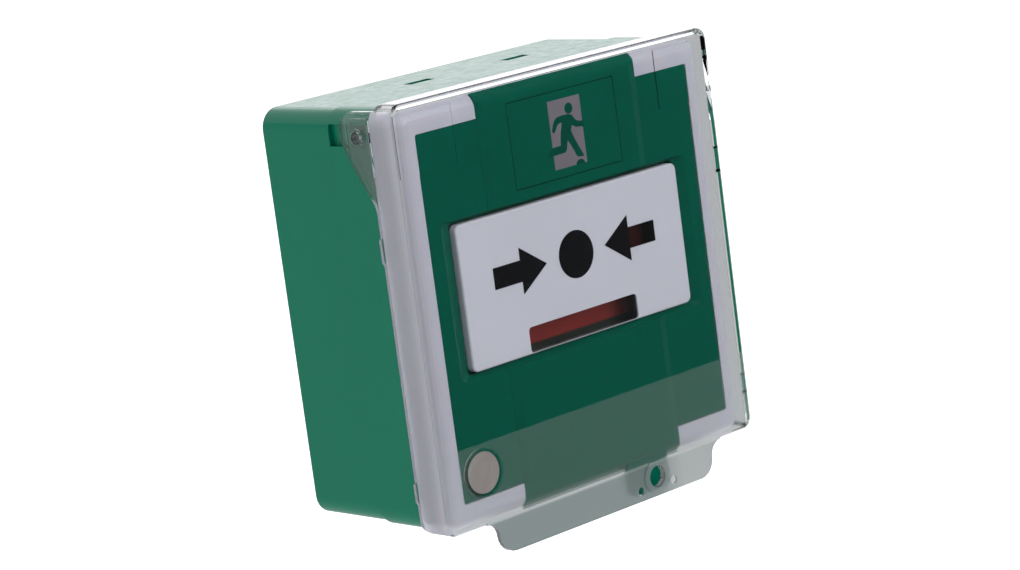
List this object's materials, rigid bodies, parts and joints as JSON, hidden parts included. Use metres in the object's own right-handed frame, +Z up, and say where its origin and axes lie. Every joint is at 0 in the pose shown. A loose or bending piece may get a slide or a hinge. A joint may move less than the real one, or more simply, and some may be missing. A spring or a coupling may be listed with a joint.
{
  "type": "manual call point",
  "caption": "Green resettable call point on a surface box, with a white light frame, a pressed element with arrows and a clear lift-up cover.",
  "frame": {"origin": "centre of the box's back face, on the wall", "axes": "+X to the viewer's right, +Y into the wall, +Z up; the operating face looks along -Y"},
  "size_m": [0.098, 0.0461, 0.1017],
  "materials": {
    "green_shell": "moulded satin green",
    "green_gloss": "glossy dark green plate",
    "white_diffuser": "translucent white, satin",
    "white_gloss": "white, printed, gloss",
    "dark_window": "smoked clear window",
    "carrier_green": "dark green moulding",
    "flag_red": "dark red moulding",
    "dark_moulding": "black moulding",
    "black_rubber": "soft black",
    "screw_steel": "zinc-plated",
    "spring_steel": "drawn wire",
    "board_green": "solder-masked laminate",
    "led_body": "clear epoxy and phosphor",
    "reed_glass": "tinted glass tube",
    "terminal_blue": "blue moulding",
    "clear_cover": "clear polycarbonate, polished",
    "magnet_nickel": "nickel-plated disc"
  },
  "bodies": {
    "base": {"back_box": "green_shell", "rear_grommet": "black_rubber", "blanking_plug": "green_shell", "seal_gasket": "black_rubber", "front_housing": "green_shell", "housing_screws": "screw_steel", "chassis": "dark_moulding", "chassis_screws": "screw_steel", "diffuser_frame": "white_diffuser", "led_strips": "board_green", "edge_leds": "led_body", "fascia": "green_gloss", "sign_insert": "green_gloss", "element_springs": "spring_steel", "microswitches": "dark_moulding", "main_board": "board_green", "board_screws": "screw_steel", "piezo_sounder": "dark_moulding", "reed_switch": "reed_glass", "terminal_block": "terminal_blue", "terminal_screws": "screw_steel", "reset_spring": "spring_steel"},
    "cover": {"flip_cover": "clear_cover", "hinge_pins": "clear_cover", "cover_magnet": "magnet_nickel"},
    "element": {"operating_element": "white_gloss", "element_window": "dark_window", "element_carrier": "carrier_green"},
    "flag": {"indicator_flag": "flag_red"},
    "plungers": {"switch_plungers": "flag_red"},
    "cam": {"reset_cam": "white_gloss"},
    "slider": {"reset_slider": "white_gloss"}
  },
  "joints": [
    {"name": "cover_hinge", "type": "hinge", "parent": "base", "child": "cover", "pos_m": [0, -0.0339, 0.041], "axis": [-1, 0, 0], "range_deg": [0, 90]},
    {"name": "element_press", "type": "slide", "parent": "base", "child": "element", "axis": [0, 1, 0], "range_m": [0, 0.0024], "stiffness_N_per_m": 900, "springref_m": -0.001, "deforming": ["element_springs"]},
    {"name": "flag_drop", "type": "slide", "parent": "element", "child": "flag", "axis": [0, 0, -1], "range_m": [0, 0.002]},
    {"name": "plunger_push", "type": "slide", "parent": "base", "child": "plungers", "axis": [0, 1, 0], "range_m": [0, 0.00216]},
    {"name": "reset_lift", "type": "slide", "parent": "base", "child": "slider", "axis": [0, 0, 1], "range_m": [0, 0.003], "stiffness_N_per_m": 28, "springref_m": -0.0002, "deforming": ["reset_spring"]},
    {"name": "reset_turn", "type": "hinge", "parent": "base", "child": "cam", "pos_m": [-0.022, -0.0298, -0.04], "axis": [0, 0, 1], "range_deg": [0, 90]}
  ],
  "couplings": [
    {"joint": "flag_drop", "follows": "element_press", "ratio": 0.8333},
    {"joint": "plunger_push", "follows": "element_press", "ratio": 0.9},
    {"joint": "reset_turn", "follows": "reset_lift", "rad_per_m": 523.5}
  ]
}
